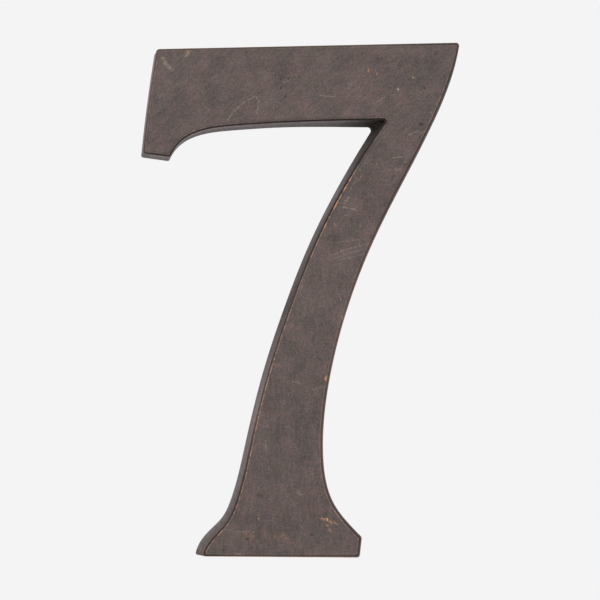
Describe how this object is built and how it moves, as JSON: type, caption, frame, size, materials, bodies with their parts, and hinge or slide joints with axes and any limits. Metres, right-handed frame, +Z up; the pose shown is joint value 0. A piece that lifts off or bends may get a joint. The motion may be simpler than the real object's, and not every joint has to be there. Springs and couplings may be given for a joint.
{
  "type": "house number",
  "caption": "Cast bronze house numeral in the shape of a seven, with a sloping bar, a curved stem and a flared foot, and blind stud holes in its flat back.",
  "frame": {"origin": "on the flat back, halfway between the two stud holes", "axes": "+X to the right as the numeral is read, +Z up, and +Y out of the back towards the wall, so the face looks along -Y"},
  "size_m": [0.0939, 0.0127, 0.1524],
  "materials": {
    "bronze": "dark oiled patina, worn to bare metal along the edges"
  },
  "bodies": {
    "root": {"numeral_seven": "bronze"}
  },
  "joints": []
}
